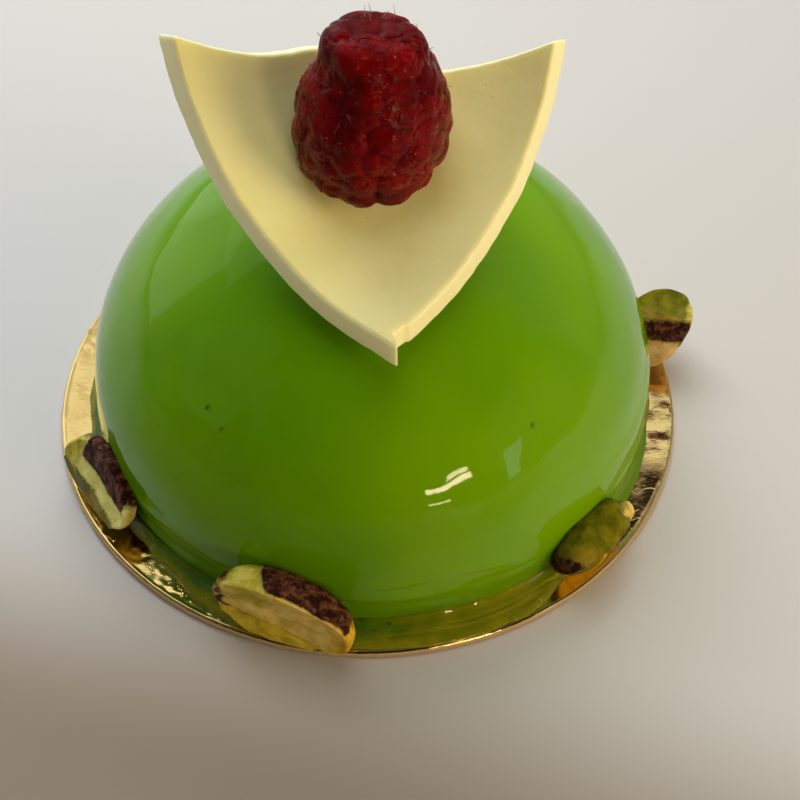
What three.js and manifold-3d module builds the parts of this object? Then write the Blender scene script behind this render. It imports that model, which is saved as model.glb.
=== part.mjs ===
// A small green glazed dome cake on a round gold card. A curved white chocolate plaque lies on the
// dome and carries one raspberry, and six pistachio pieces stand round the foot.
// Millimetres, +Z up. The origin is the middle of the card's underside, and -Y is the front.
import * as THREE from "three";
import { mergeVertices } from "three/addons/utils/BufferGeometryUtils.js";
import Module from "manifold-3d";

const wasm = await Module();
wasm.setup();

// ---- driving dimensions ----
const GAP = 0.3; // left between neighbours that touch

const CARD_RADIUS = 40;
const CARD_THICKNESS = 1.2;
const CARD_EDGE_ROUND = 0.3;
const CARD_SEGMENTS = 80;

const DOME_RADIUS = 36.2; // a half sphere of 35 mm radius and its glaze
const DOME_MIDDLE = new THREE.Vector3(0.4, -1.3, 2.7);
const DOME_TUCK = 1.4; // how much narrower it is at the foot
const DOME_UNEVEN = 0.08;
const DOME_SEGMENTS = 72;
const DOME_ROWS = 18;

const SKIRT_THICKNESS = 0.4; // of the glaze that has run out on the card
const SKIRT_REACH = 36.2; // from the dome's axis
const SKIRT_FRONT_REACH = 38.6; // at the front, where it has pooled
const POOL_START = [-140, -112]; // azimuths between which the pool widens
const POOL_END = [-62, -50]; // and between which it narrows again

const PLAQUE_HALF_WIDTH = 24.4; // from the middle to a rear corner, along the sheet
const PLAQUE_LENGTH = 34.7; // from the rear edge to the front tip
const PLAQUE_SKEW = 1.07; // how much farther back the left rear corner is than the middle
const PLAQUE_SIDE_BOW = 3.1; // outwards
const PLAQUE_REAR_BOW = -1.2; // inwards
const PLAQUE_REAR_WAVE = 0.4;
const PLAQUE_REAR_HUMP = 2.4;
const PLAQUE_THICKNESS = 3.2;
const PLAQUE_CHAMFER = 0.35;
const PLAQUE_SHELL_RADIUS = 38.5; // of the sphere that its underside follows
const PLAQUE_TOUCH = new THREE.Vector2(0.77, -23.2); // where the sheet rests on the dome
const PLAQUE_TILT = THREE.MathUtils.degToRad(20.6);
const PLAQUE_TURN = THREE.MathUtils.degToRad(3.9);
const PLAQUE_SIDE_STEPS = 22;
const PLAQUE_RINGS = 5;

const BERRY_PLACE = new THREE.Vector2(0.1, -11.6); // on the plaque's sheet
const BERRY_HEIGHT = 17.2;
const BERRY_RADIUS = 7.7; // at its widest
const BERRY_TOP_SHARE = 0.66; // of that radius is left near the top
const BERRY_LEAN = THREE.MathUtils.degToRad(4); // to the right
const BERRY_ROWS = [11, 13, 13, 12, 11, 9, 6]; // drupelets in each, from the foot up
const DRUPELET_RADIUS = 2.2;
const CORE_SEGMENTS = 16;
const CORE_ROWS = 6;

// Each pistachio piece is half a kernel. at is its azimuth, its distance out from the card's middle
// and its height. size is its width, length and depth, with the length along the card's rim. turn is
// its roll, pitch and yaw: at roll 0 the flat side is down, and at -90 it looks outwards. In degrees.
const PISTACHIOS = {
  pistachio_front: { at: [-104, 38.3, 6.5], size: [9.6, 17.0, 5.4], turn: [-88, -2, -9] },
  pistachio_left: { at: [-150.5, 37.1, 5.6], size: [8.4, 14.2, 4.8], turn: [-92, -3, 4] },
  pistachio_right: { at: [-45.5, 37.3, 5.7], size: [6.8, 12.0, 4.2], turn: [-42, 6, 2] },
  pistachio_right_rear: { at: [10.5, 39.0, 6.3], size: [8.6, 10.4, 4.8], turn: [180, 6, -62] },
  pistachio_rear: { at: [72, 38.3, 6.0], size: [9.0, 15.6, 5.0], turn: [-86, 2, 5] },
  pistachio_left_rear: { at: [131, 37.6, 5.4], size: [7.6, 14.0, 4.6], turn: [-48, -3, -4] },
};
const KERNEL_SEGMENTS = 20;
const KERNEL_ROWS = 6;
const KERNEL_TAPER = 0.14; // how much narrower than the middle its far end is

const MATERIALS = {
  gold_card: { color: 0xd9b260, roughness: 0.22, metalness: 1.0 },
  green_dome: { color: 0x4f8a08, roughness: 0.08, metalness: 0.0 },
  chocolate_plaque: { color: 0xe3d79a, roughness: 0.4, metalness: 0.0 },
  raspberry: { color: 0x7d0a18, roughness: 0.3, metalness: 0.0 },
  pistachio: { color: 0x9a9a3a, roughness: 0.5, metalness: 0.0 },
};

// ---- helpers ----
const { smoothstep, degToRad, radToDeg, lerp } = THREE.MathUtils;

const polar = (radius, azimuth, height) =>
  new THREE.Vector3(radius * Math.cos(azimuth), radius * Math.sin(azimuth), height);

// A ring of points round the z axis. pointAt takes an azimuth.
function ringOf(segments, pointAt) {
  return Array.from({ length: segments }, (_, j) => pointAt((j / segments) * 2 * Math.PI - Math.PI));
}

// A closed body from rings of points, top first. The first and last rings are single points.
function ringsGeometry(rings) {
  const starts = [];
  let total = 0;
  for (const ring of rings) {
    starts.push(total);
    total += ring.length;
  }
  const faces = [];
  for (let i = 0; i + 1 < rings.length; i++) {
    const [upper, lower] = [rings[i].length, rings[i + 1].length];
    for (let j = 0; j < Math.max(upper, lower); j++) {
      const a = starts[i] + (j % upper);
      const b = starts[i] + ((j + 1) % upper);
      const c = starts[i + 1] + (j % lower);
      const d = starts[i + 1] + ((j + 1) % lower);
      if (c !== d) faces.push(a, c, d);
      if (a !== b) faces.push(a, d, b);
    }
  }
  const geometry = new THREE.BufferGeometry().setFromPoints(rings.flat());
  geometry.setIndex(faces);
  return geometry;
}

// The same closed shape with every point moved out along its normal.
function grown(geometry, by) {
  const copy = geometry.clone();
  copy.computeVertexNormals();
  const { position, normal } = copy.attributes;
  const point = new THREE.Vector3();
  const outwards = new THREE.Vector3();
  for (let i = 0; i < position.count; i++) {
    outwards.fromBufferAttribute(normal, i);
    point.fromBufferAttribute(position, i).addScaledVector(outwards, by);
    position.setXYZ(i, point.x, point.y, point.z);
  }
  return copy;
}

function toSolid(geometry) {
  const plain = geometry.clone();
  plain.deleteAttribute("normal");
  plain.deleteAttribute("uv");
  const merged = mergeVertices(plain, 1e-4);
  const mesh = new wasm.Mesh({
    numProp: 3,
    vertProperties: new Float32Array(merged.attributes.position.array),
    triVerts: new Uint32Array(merged.index.array),
  });
  return new wasm.Manifold(mesh);
}

function toGeometry(solid) {
  const mesh = solid.getMesh();
  const geometry = new THREE.BufferGeometry();
  geometry.setAttribute("position", new THREE.Float32BufferAttribute(mesh.vertProperties, 3));
  geometry.setIndex(new THREE.BufferAttribute(mesh.triVerts, 1));
  return geometry;
}

function namedMesh(name, geometry, look = name) {
  geometry.computeVertexNormals();
  const mesh = new THREE.Mesh(geometry, new THREE.MeshStandardMaterial(MATERIALS[look]));
  mesh.name = name;
  return mesh;
}

// ---- card ----
function cardGeometry() {
  const profile = [
    [0, 0],
    [CARD_RADIUS, 0],
    [CARD_RADIUS, CARD_THICKNESS - CARD_EDGE_ROUND],
    [CARD_RADIUS - CARD_EDGE_ROUND * 0.3, CARD_THICKNESS - CARD_EDGE_ROUND * 0.3],
    [CARD_RADIUS - CARD_EDGE_ROUND, CARD_THICKNESS],
    [0, CARD_THICKNESS],
  ];
  const points = profile.map(([radius, height]) => new THREE.Vector2(radius, height));
  return new THREE.LatheGeometry(points, CARD_SEGMENTS).rotateX(Math.PI / 2);
}

// ---- dome, and the glaze that has run out on the card ----
// share is 0 at the top and 1 at the foot.
function domeRadius(azimuth, share) {
  const waves = Math.sin(3 * azimuth + 0.7) + 0.6 * Math.sin(5 * azimuth - 1.1 + 2 * share);
  return DOME_RADIUS + DOME_UNEVEN * share * waves - DOME_TUCK * smoothstep(share, 0.72, 1.02);
}

// How far the glaze reaches from the dome's axis.
function skirtReach(azimuth) {
  const degrees = radToDeg(azimuth);
  const pooled = smoothstep(degrees, ...POOL_START) * (1 - smoothstep(degrees, ...POOL_END));
  const ripple = 0.14 * Math.sin(9 * azimuth) + 0.1 * Math.sin(17 * azimuth + 1);
  const least = domeRadius(azimuth, 1) + 2 * SKIRT_THICKNESS;
  return Math.max(least, lerp(SKIRT_REACH, SKIRT_FRONT_REACH, pooled) + ripple);
}

function domeRing(share) {
  const angle = (share * Math.PI) / 2;
  return ringOf(DOME_SEGMENTS, (azimuth) => {
    const radius = domeRadius(azimuth, share);
    return polar(radius * Math.sin(angle), azimuth, radius * Math.cos(angle));
  });
}

function domeGeometry() {
  const floor = CARD_THICKNESS + GAP - DOME_MIDDLE.z;
  const rings = [[new THREE.Vector3(0, 0, DOME_RADIUS)]];
  for (let i = 1; i <= DOME_ROWS; i++) rings.push(domeRing(i / DOME_ROWS));
  const level = (height, radiusAt) =>
    ringOf(DOME_SEGMENTS, (azimuth) => polar(radiusAt(azimuth), azimuth, floor + height));
  rings.push(level(SKIRT_THICKNESS, (azimuth) => domeRadius(azimuth, 1) + SKIRT_THICKNESS));
  rings.push(level(0.75 * SKIRT_THICKNESS, skirtReach));
  rings.push(level(0, (azimuth) => skirtReach(azimuth) + 0.25 * SKIRT_THICKNESS));
  rings.push([new THREE.Vector3(0, 0, floor)]);
  return ringsGeometry(rings).translate(...DOME_MIDDLE);
}

// ---- plaque ----
// A point of the sheet, laid out flat as (across, along), at a depth above its underside.
function sheetPoint(across, along, depth) {
  const flat = new THREE.Vector2(across, along).sub(PLAQUE_TOUCH);
  const angle = flat.length() / PLAQUE_SHELL_RADIUS;
  const radius = PLAQUE_SHELL_RADIUS - depth;
  flat.setLength(radius * Math.sin(angle));
  return new THREE.Vector3(flat.x, flat.y, PLAQUE_SHELL_RADIUS - radius * Math.cos(angle));
}

// Points from a towards b, bowed out to the right of the way. The next side starts at b itself.
function bowedSide(a, b, bow, extra = () => 0) {
  const way = b.clone().sub(a);
  const right = new THREE.Vector2(way.y, -way.x).normalize();
  return Array.from({ length: PLAQUE_SIDE_STEPS }, (_, i) => {
    const t = i / PLAQUE_SIDE_STEPS;
    return a.clone().addScaledVector(way, t).addScaledVector(right, 4 * bow * t * (1 - t) + extra(t));
  });
}

function plaqueOutline() {
  const left = new THREE.Vector2(-PLAQUE_HALF_WIDTH, PLAQUE_SKEW);
  const right = new THREE.Vector2(PLAQUE_HALF_WIDTH, -PLAQUE_SKEW);
  const tip = new THREE.Vector2(0.5, -PLAQUE_LENGTH);
  const hump = (t) => PLAQUE_REAR_HUMP * Math.exp(-(((t - 0.58) / 0.13) ** 2));
  const wave = (t) => PLAQUE_REAR_WAVE * Math.sin(2 * Math.PI * t);
  return [
    ...bowedSide(left, tip, PLAQUE_SIDE_BOW),
    ...bowedSide(tip, right, PLAQUE_SIDE_BOW),
    ...bowedSide(right, left, PLAQUE_REAR_BOW, (t) => hump(t) - wave(t)),
  ];
}

// The sheet between two depths above its underside.
function plaqueGeometry(from = 0, to = PLAQUE_THICKNESS) {
  const outline = plaqueOutline();
  const middle = new THREE.Vector2(0, -0.36 * PLAQUE_LENGTH);
  const ring = (share, depth, inset = 0) =>
    outline.map((edge) => {
      const inwards = middle.clone().sub(edge).normalize();
      const flat = middle.clone().lerp(edge, share).addScaledVector(inwards, inset);
      return sheetPoint(flat.x, flat.y, depth);
    });
  const inner = Array.from({ length: PLAQUE_RINGS - 1 }, (_, i) => (i + 1) / PLAQUE_RINGS);
  return ringsGeometry([
    [sheetPoint(middle.x, middle.y, to)],
    ...inner.map((share) => ring(share, to)),
    ring(1, to, PLAQUE_CHAMFER),
    ring(1, to - PLAQUE_CHAMFER),
    ring(1, from),
    ...inner.reverse().map((share) => ring(share, from)),
    [sheetPoint(middle.x, middle.y, from)],
  ]);
}

// From the sheet's own frame to its place on the dome.
function plaqueFrame() {
  return new THREE.Matrix4()
    .makeTranslation(...DOME_MIDDLE)
    .multiply(new THREE.Matrix4().makeRotationZ(PLAQUE_TURN))
    .multiply(new THREE.Matrix4().makeRotationX(PLAQUE_TILT))
    .multiply(new THREE.Matrix4().makeTranslation(0, 0, DOME_RADIUS + GAP));
}

// ---- raspberry ----
// The radius at a share of the height: widest low down, tapered, and blunt at the top.
function berryRadius(share) {
  const foot = 0.72 + 0.28 * Math.sqrt(1 - (1 - Math.min(share / 0.3, 1)) ** 2);
  const taper = 1 - (1 - BERRY_TOP_SHARE) * smoothstep(share, 0.3, 1);
  const shoulder = Math.sqrt(1 - Math.max(0, (share - 0.72) / 0.32) ** 2);
  return BERRY_RADIUS * foot * taper * shoulder;
}

function drupelet(row, index, count) {
  const share = 0.07 + (0.8 * row) / (BERRY_ROWS.length - 1);
  const jitter = Math.sin(12.9 * (row + 1) + 7.3 * index);
  const azimuth = ((index + (row % 2) / 2 + 0.14 * jitter) / count) * 2 * Math.PI;
  const size = DRUPELET_RADIUS * (0.95 + 0.08 * Math.sin(5.1 * index + row));
  const out = berryRadius(share) - 0.85 * DRUPELET_RADIUS + 0.15 * jitter;
  const place = polar(out, azimuth, share * BERRY_HEIGHT);
  return toSolid(new THREE.IcosahedronGeometry(size, 1).translate(...place));
}

function berryCore() {
  const rings = [[new THREE.Vector3(0, 0, 0.93 * BERRY_HEIGHT)]];
  for (let i = CORE_ROWS; i >= 0; i--) {
    const share = 0.02 + (0.86 * i) / CORE_ROWS;
    const radius = berryRadius(share) - 0.6 * DRUPELET_RADIUS;
    rings.push(ringOf(CORE_SEGMENTS, (azimuth) => polar(radius, azimuth, share * BERRY_HEIGHT)));
  }
  rings.push([new THREE.Vector3(0, 0, 0.02 * BERRY_HEIGHT)]);
  return toSolid(ringsGeometry(rings));
}

function berryGeometry() {
  const parts = [berryCore()];
  BERRY_ROWS.forEach((count, row) => {
    for (let i = 0; i < count; i++) parts.push(drupelet(row, i, count));
  });
  const top = new THREE.IcosahedronGeometry(DRUPELET_RADIUS, 1);
  parts.push(toSolid(top.translate(0, 0, BERRY_HEIGHT - DRUPELET_RADIUS)));
  return toGeometry(wasm.Manifold.union(parts));
}

// The berry in its place, cut by the plaque's upper face so that it sits in the bowl of the sheet.
function seatedBerryGeometry() {
  const frame = plaqueFrame();
  const foot = sheetPoint(BERRY_PLACE.x, BERRY_PLACE.y, PLAQUE_THICKNESS).applyMatrix4(frame);
  const lean = new THREE.Matrix4().makeRotationY(BERRY_LEAN);
  const berry = toSolid(berryGeometry().applyMatrix4(lean).translate(...foot));
  const below = toSolid(plaqueGeometry(-2 * PLAQUE_THICKNESS, PLAQUE_THICKNESS + GAP).applyMatrix4(frame));
  return toGeometry(berry.subtract(below));
}

// ---- pistachio pieces ----
// Half a kernel: x across, y along, flat at the bottom and round above it. One end is more pointed.
function kernelGeometry([width, length, depth]) {
  const ring = (share, height) =>
    ringOf(KERNEL_SEGMENTS, (azimuth) => {
      const along = 0.5 * length * Math.sin(azimuth);
      const across = 0.5 * width * Math.cos(azimuth) * (1 - KERNEL_TAPER * Math.sin(azimuth));
      return new THREE.Vector3(share * across, share * along, height);
    });
  const rings = [[new THREE.Vector3(0, 0, depth)]];
  for (let i = 1; i <= KERNEL_ROWS; i++) {
    const angle = ((i / KERNEL_ROWS) * Math.PI) / 2;
    rings.push(ring(Math.sin(angle) ** 0.9, depth * (0.1 + 0.9 * Math.cos(angle) ** 0.85)));
  }
  rings.push(ring(0.96, 0));
  rings.push([new THREE.Vector3(0, 0, 0)]);
  return ringsGeometry(rings).translate(0, 0, -0.4 * depth);
}

// clearance holds what the piece leans on and stands on. Scraps that it cuts off are dropped.
function pistachioGeometry({ at: [azimuth, out, up], size, turn: [roll, pitch, yaw] }, clearance) {
  const place = new THREE.Matrix4()
    .makeRotationZ(degToRad(azimuth))
    .multiply(new THREE.Matrix4().makeTranslation(out, 0, up))
    .multiply(new THREE.Matrix4().makeRotationZ(degToRad(yaw)))
    .multiply(new THREE.Matrix4().makeRotationX(degToRad(pitch)))
    .multiply(new THREE.Matrix4().makeRotationY(degToRad(roll)));
  const kernel = toSolid(kernelGeometry(size).applyMatrix4(place)).subtract(clearance);
  const [largest] = kernel.decompose().sort((a, b) => b.volume() - a.volume());
  return toGeometry(largest);
}

// ---- the cake ----
const cake = new THREE.Group();
cake.add(namedMesh("gold_card", cardGeometry()));
cake.add(namedMesh("green_dome", domeGeometry()));
cake.add(namedMesh("chocolate_plaque", plaqueGeometry().applyMatrix4(plaqueFrame())));
cake.add(namedMesh("raspberry", seatedBerryGeometry()));

const clearance = toSolid(grown(domeGeometry(), GAP)).add(toSolid(cardGeometry().translate(0, 0, GAP)));
for (const [name, piece] of Object.entries(PISTACHIOS)) {
  cake.add(namedMesh(name, pistachioGeometry(piece, clearance), "pistachio"));
}

export default cake;
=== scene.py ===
"""The looks of a small green glazed dome cake on a round gold card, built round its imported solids.

Lengths are in millimetres, and new_piece turns them into metres. Named values and tables give angles
in degrees. +Z is up, -Y is the front, and azimuths count from +X towards +Y.
"""

import math

import bpy
import numpy as np
from mathutils import Matrix, Vector
from mathutils.bvhtree import BVHTree


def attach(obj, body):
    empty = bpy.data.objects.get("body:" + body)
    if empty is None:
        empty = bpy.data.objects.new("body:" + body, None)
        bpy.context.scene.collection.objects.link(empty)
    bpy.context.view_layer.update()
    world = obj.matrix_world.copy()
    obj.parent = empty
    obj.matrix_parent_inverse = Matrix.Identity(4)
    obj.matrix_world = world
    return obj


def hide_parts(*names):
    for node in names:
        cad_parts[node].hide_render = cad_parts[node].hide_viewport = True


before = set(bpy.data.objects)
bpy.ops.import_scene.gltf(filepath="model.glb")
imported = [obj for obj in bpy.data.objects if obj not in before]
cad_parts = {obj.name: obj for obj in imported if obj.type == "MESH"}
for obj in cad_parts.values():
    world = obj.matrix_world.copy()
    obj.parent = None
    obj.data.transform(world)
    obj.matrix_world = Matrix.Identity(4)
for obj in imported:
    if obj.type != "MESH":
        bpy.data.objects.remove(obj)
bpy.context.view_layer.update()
MM = 0.001

# ---- driving dimensions, the same as the solids' ----
CARD_RADIUS = 40.0
CARD_TOP = 1.2
DOME_RADIUS = 36.2
DOME_MIDDLE = np.array([0.4, -1.3, 2.7])
DOME_TUCK = 1.4
DOME_UNEVEN = 0.08
GAP = 0.3
# How quickly the flare of the dome's foot fades with height, and how low the foot reaches.
FLARE_FADE = 0.75
DOME_BOTTOM = 1.3

PLAQUE_HALF_WIDTH = 24.4
PLAQUE_LENGTH = 34.7
PLAQUE_SKEW = 1.07
PLAQUE_SIDE_BOW = 3.1
PLAQUE_REAR_BOW = -1.2
PLAQUE_REAR_WAVE = 0.4
PLAQUE_REAR_HUMP = 2.4
PLAQUE_THICKNESS = 3.2
PLAQUE_SHELL_RADIUS = 38.5
PLAQUE_TOUCH = np.array([0.77, -23.2])
PLAQUE_TILT = 20.6
PLAQUE_TURN = 3.9
PLAQUE_NIB = np.array([1.2, -1.35])

BERRY_PLACE = (0.1, -11.6)
BERRY_HEIGHT = 17.2
BERRY_RADIUS = 7.7
BERRY_TOP_SHARE = 0.66
BERRY_LEAN = 4
BERRY_ROWS = (11, 13, 13, 12, 11, 9, 6)
DRUPELET_RADIUS = 2.2
BERRY_RELIEF = 0.55
# How widely two drupelets run into each other, and how far the berry is pressed into the plaque.
BERRY_BLEND = 0.9
BERRY_SINK = 0.05
# The dried hairs of the berry: azimuth, elevation and length.
BERRY_HAIRS = (
    (100, 78, 1.5), (112, 74, 1.2), (95, 72, 1.4), (70, 70, 1.3), (52, 66, 1.2), (20, 58, 1.1),
    (5, 44, 1.0), (172, 52, 1.2), (176, 30, 1.1), (181, 22, 0.8), (-4, 20, 0.9), (-2, 12, 0.8),
    (140, 40, 1.0), (60, 30, 1.1), (95, 25, 1.0), (-60, 62, 0.7),
)

# The card's rolled edge, from its foil down to its foot: radius and height.
CARD_EDGE = ((39.85, 1.12), (39.96, 0.98), (40.0, 0.8), (39.98, 0.5), (39.95, 0.2), (39.8, 0.03))
# The parts of the edge above this height are foil.
CARD_FOIL_FROM = 0.9
CARD_FOOT = 0.02
# Middle and width of the fine raised rim by the card's edge, and where the foil's waves end there.
CARD_RIM = (39.62, 0.15)
WAVES_END = (39.75, 39.2)

# at: azimuth, distance out and height of a half kernel's middle. size: width, length, depth.
# turn: roll, pitch, yaw in degrees. Places on a kernel are in its own frame, halved sizes being 1:
# X across the split face, Y along it and Z towards the back. A patch of paint is where each of its
# half-spaces holds, each a direction and a least value. A groove follows the edge of a half-space,
# with its depth in mm, and a bevel sinks the split face beyond such an edge.
PISTACHIOS = {
    "pistachio_front": {
        "at": (-104, 38.3, 6.5), "size": (9.6, 17.0, 5.4), "turn": (-88, -2, -9), "square": 2.5,
        "grooves": ((1, 0.33, 0, -0.5, 0.55), (0, -1, 0, 0.87, 0.2), (1, -0.1, 0, 0.3, 0.12)),
        "paint": {
            "cream": (((1, 0.33, 0, -0.5), (0, 0, -1, 0.26)), ((0, -1, 0, 0.92),)),
            # lower: painted shade on the lower half of the split face.
            "lower": (((-1, -0.33, 0, 0.5), (0, 1, 0, -0.9)),),
            "peeled": (((0, -1, 0, 0.12), (0, 1, 0, -0.86), (1, -0.4, 0, 0.42)),),
            "amber": (((0, 1, 0, 0.8), (1, 0, 0, -0.4)),),
            "skin": (
                ((0.15, 1, 0.45, -0.2), (0, 0, 1, -0.36), (0.3, -1, 0, -0.8)),
                ((0, -1, 0, 0.86), (0, 1, 0, -0.92), (1, 0, 0, -0.2)),
            ),
        },
    },
    "pistachio_left": {
        "at": (-150.5, 37.1, 5.6), "size": (8.4, 14.2, 4.8), "turn": (-92, -3, 4),
        "grooves": ((1, 0.15, 0, -0.3, 0.35), (0, 1, 0, 0.8, 0.25)),
        "bevel": (1, 0.15, 0, -0.3, 2.6),
        "paint": {
            "peeled": (((1, 0.15, 0, -0.3), (0, 0, -1, 0.3)),),
            "cream": (((0, 1, 0, 0.86), (0, 0, -1, -0.1)), ((-1, 0, 0, 0.93),)),
            "pale": (((1, 0.15, 0, -0.27), (0, 0, -1, 0.3), (0, 1, 0, -0.6)),),
            "amber": (((0, 1, 0, 0.8), (0, 0, 1, 0.1)),),
            "dull": (((-1, -0.15, 0, 0.34), (0, 0, -1, 0.3), (0, 1, 0, -0.3)),),
            "skin": (((1, 0.15, 1.4, -0.42), (0, 1, 0.2, -0.62), (0, -1, 0, -0.84), (1, 0, 1, -0.35)),),
        },
    },
    "pistachio_right": {
        "at": (-45.5, 37.3, 5.7), "size": (6.8, 12.0, 4.2), "turn": (-42, 6, 2), "square": 2.6,
        "grooves": ((0.35, 1, 0, 0.96, 0.35),),
        "paint": {
            "dull": (((0, -1, -0.3, 0.5), (0, 0, 1, -0.3)),),
            "cream": (((0.35, 1, 0, 1.02), (0, 0, -1, -0.2)),),
            "amber": (((0, 0, -1, 0.42),),),
            "skin": (((0, -1, -0.3, 0.86), (0, 0, 1, -0.25)),),
        },
    },
    "pistachio_right_rear": {
        "at": (10.5, 39.0, 6.3), "size": (8.6, 10.4, 4.8), "turn": (180, 6, -62),
        "grooves": ((0.3, 0.4, 0.5, -0.1, 0.15),),
        "bevel": (-0.565, -0.825, 0, 0.1, 3.4),
        "paint": {
            "dull": (((-0.4, -0.95, 0, -0.2), (0, 0, -1, 0.2)),),
            "peeled": (((-1, 0.7, 0, 0.98),),),
            "tan": (((0, 0, 1, -0.3),), ((-0.565, -0.825, 0, 0.5),)),
            "skin": (((-0.565, -0.825, 0, 0.16), (0.565, 0.825, 0, -0.56), (0, 0, -1, 0.1)),),
        },
    },
    "pistachio_rear": {
        "at": (72, 38.3, 6.0), "size": (9.0, 15.6, 5.0), "turn": (-86, 2, 5), "square": 2.2,
        "grooves": ((1, -0.2, 0, -0.35, 0.4),),
        "paint": {
            "cream": (((1, -0.2, 0, -0.35), (0, 0, -1, 0.26)),),
            # lower: painted shade on the lower half of the split face.
            "lower": (((-1, 0.2, 0, 0.35),),),
            "skin": (((0, -1, 0.4, -0.35), (0, 0, 1, -0.28)),),
        },
    },
    "pistachio_left_rear": {
        "at": (131, 37.6, 5.4), "size": (7.6, 14.0, 4.6), "turn": (-48, -3, -4),
        "grooves": ((0, 1, 0, 0.84, 0.3),),
        "paint": {
            "cream": (((0, 0, -1, 0.26),),),
            "peeled": (((0, -1, 0, 0.55),),),
            "skin": (((0.2, 1, 0.3, 0.28), (0, -1, 0, -0.86), (0, 0, 1, -0.28)),),
        },
    },
}
# Spots where the foil is crushed: azimuth, distance out, spread in degrees, and depth in mm.
CRUSHED_FOIL = (
    (-116, 39.2, 4.5, 0.07),
    (-127.5, 38.6, 4.0, 0.06),
    (-137, 38.2, 2.5, 0.05),
    (-145, 39.2, 2.0, 0.06),
    (-155.6, 39.4, 1.6, 0.07),
    (167, 38.9, 2.5, 0.06),
    (-61, 39.3, 2.2, 0.08),
    (-66, 38.9, 2.0, 0.06),
    (60, 38.4, 3.0, 0.05),
    (104, 38.9, 3.5, 0.05),
)
KERNEL_TAPER = 0.14
# Where the flat split face ends and the rounded back begins, as a share of a kernel's depth.
KERNEL_BACK_FROM = 0.1
# Darker and lighter colours of a kernel's flesh, of what is painted on it, and of its skin.
KERNEL_FLESH = ((0.075, 0.079, 0.001), (0.20, 0.18, 0.003))
KERNEL_PAINTS = {
    "dull": ((0.12, 0.085, 0.004), (0.27, 0.20, 0.012)),
    "tan": ((0.38, 0.22, 0.07), (0.58, 0.38, 0.15)),
    "cream": ((0.56, 0.39, 0.06), (0.82, 0.63, 0.18)),
    # lower is a darker olive-yellow copy of the cream, painted shade on the split face's lower half.
    "lower": ((0.41, 0.30, 0.008), (0.69, 0.53, 0.04)),
    "peeled": ((0.32, 0.28, 0.012), (0.60, 0.52, 0.10)),
    "pale": ((0.58, 0.55, 0.12), (0.82, 0.78, 0.28)),
    "amber": ((0.42, 0.22, 0.010), (0.66, 0.44, 0.02)),
}
KERNEL_SKIN = ((0.022, 0.006, 0.004), (0.16, 0.058, 0.024))

# Dark specks in the glaze: x, y, z and radius.
GLAZE_SPECKS = (
    (-17.6, -23.4, 25.0, 0.42),
    (-16.0, -25.6, 23.9, 0.34),
    (18.0, -25.0, 23.6, 0.34),
    (3.7, -37.3, 2.7, 0.55),
    (4.4, -37.4, 1.9, 0.6),
    (5.6, -37.2, 1.7, 0.45),
    (-0.9, -37.6, 1.9, 0.8),
    (12.0, 22.4, 29.5, 0.36),
    (-21.0, 17.6, 25.6, 0.34),
    (30.0, 12.0, 19.8, 0.4),
)
# Low sagging ridges round the dome's foot: azimuth, height in mm, and spread in degrees.
GLAZE_SAGS = ((-76, 9.9, 15), (-131, 8.6, 14), (62, 10.4, 15), (112, 8.8, 13), (164, 10.2, 14))

# How far the run-out glaze reaches from the card's middle, by azimuth.
POOL_REACH = (
    (-180, 36.4), (-166, 36.2), (-150, 36.6), (-137, 36.5), (-128, 37.5), (-119, 38.8),
    (-110, 39.5), (-100, 39.7), (-63, 39.7), (-57, 38.9), (-50, 37.6), (-40, 36.8),
    (-25, 36.2), (-12, 36.2), (3, 37.4), (14, 37.6), (28, 36.3), (60, 35.8),
    (74, 36.9), (92, 35.2), (118, 35.6), (131, 36.8), (146, 36.0), (164, 35.9),
)
POOL_THICKNESS = 0.6
# How far the run-out glaze may reach and how far it goes under the dome, and its edge's width.
POOL_MOST = 39.85
POOL_TUCK = 1.2
POOL_EDGE = 0.8
# Where the run-out glaze is cloudy: azimuth, and the spread where it ends and where it is full.
POOL_CLOUDS = ((-66, 24, 10), (108, 22, 9))

# Patches of tiny drops: middle x and y, azimuth and its spread, distance out and its spread,
# count, and radius of a drop.
DROPS = (
    (0.1, 3.9, 0, 180, 8.9, 1.2, 120, 0.10),
    (-21.5, 8.5, 0, 180, 1.3, 1.2, 14, 0.07),
    (0, 0, -127, 7, 38.4, 0.6, 34, 0.13),
    (0, 0, -145, 3, 38.9, 0.5, 10, 0.12),
    (0, 0, -63, 4, 38.9, 0.4, 12, 0.13),
    (0, 0, -89, 3, 37.2, 0.8, 12, 0.15),
    (0, 0, -107, 4, 35.6, 0.3, 8, 0.10),
    (0, 0, -148, 4, 34.6, 0.3, 8, 0.10),
    (0, 0, -50, 3, 35.0, 0.4, 5, 0.10),
    (0, 0, 70, 8, 38.0, 0.8, 14, 0.12),
    (0, 0, 135, 10, 37.8, 0.8, 16, 0.12),
)

CAMERA_PLACE = (0.0, -131.323, 148.908)
CAMERA_FORWARD = (0.02072884, 0.65984647, -0.75111447)
CAMERA_RIGHT = (0.99976026, -0.01897969, 0.01091736)
CAMERA_LENS = 67.5
CAMERA_SENSOR = 36.0

# Where the world fades from dark to pale, by the y of the direction, and its two strengths.
WORLD_FADE = (-0.35, 0.5, 0.012, 0.24)
# How large the lumps in the patches' edges are, as seen on a sphere of 1 m radius.
WORLD_LUMPS = 312.5
# Pale and dark parts of the room: azimuth, elevation, half width, strength and raggedness.
WORLD_PATCHES = (
    (126, 8, 33, 0.55, 0.22),
    (112, 10, 22, 0.25, 0.22),
    (-163, 27, 20, 0.10, 0.22),
    (-150, 8, 14, 0.07, 0.22),
    (-24, 12, 17, 0.10, 0.22),
    (20, 30, 18, 0.12, 0.22),
    (128, 52, 16, 0.42, 0.22),
    (75, 39.5, 10, 0.6, 0.03),
    (73, 62, 12, -0.22, 0.03),
)
WHITE = (1.0, 1.0, 1.0)
WARM = (1.0, 0.76, 0.46)
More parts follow.
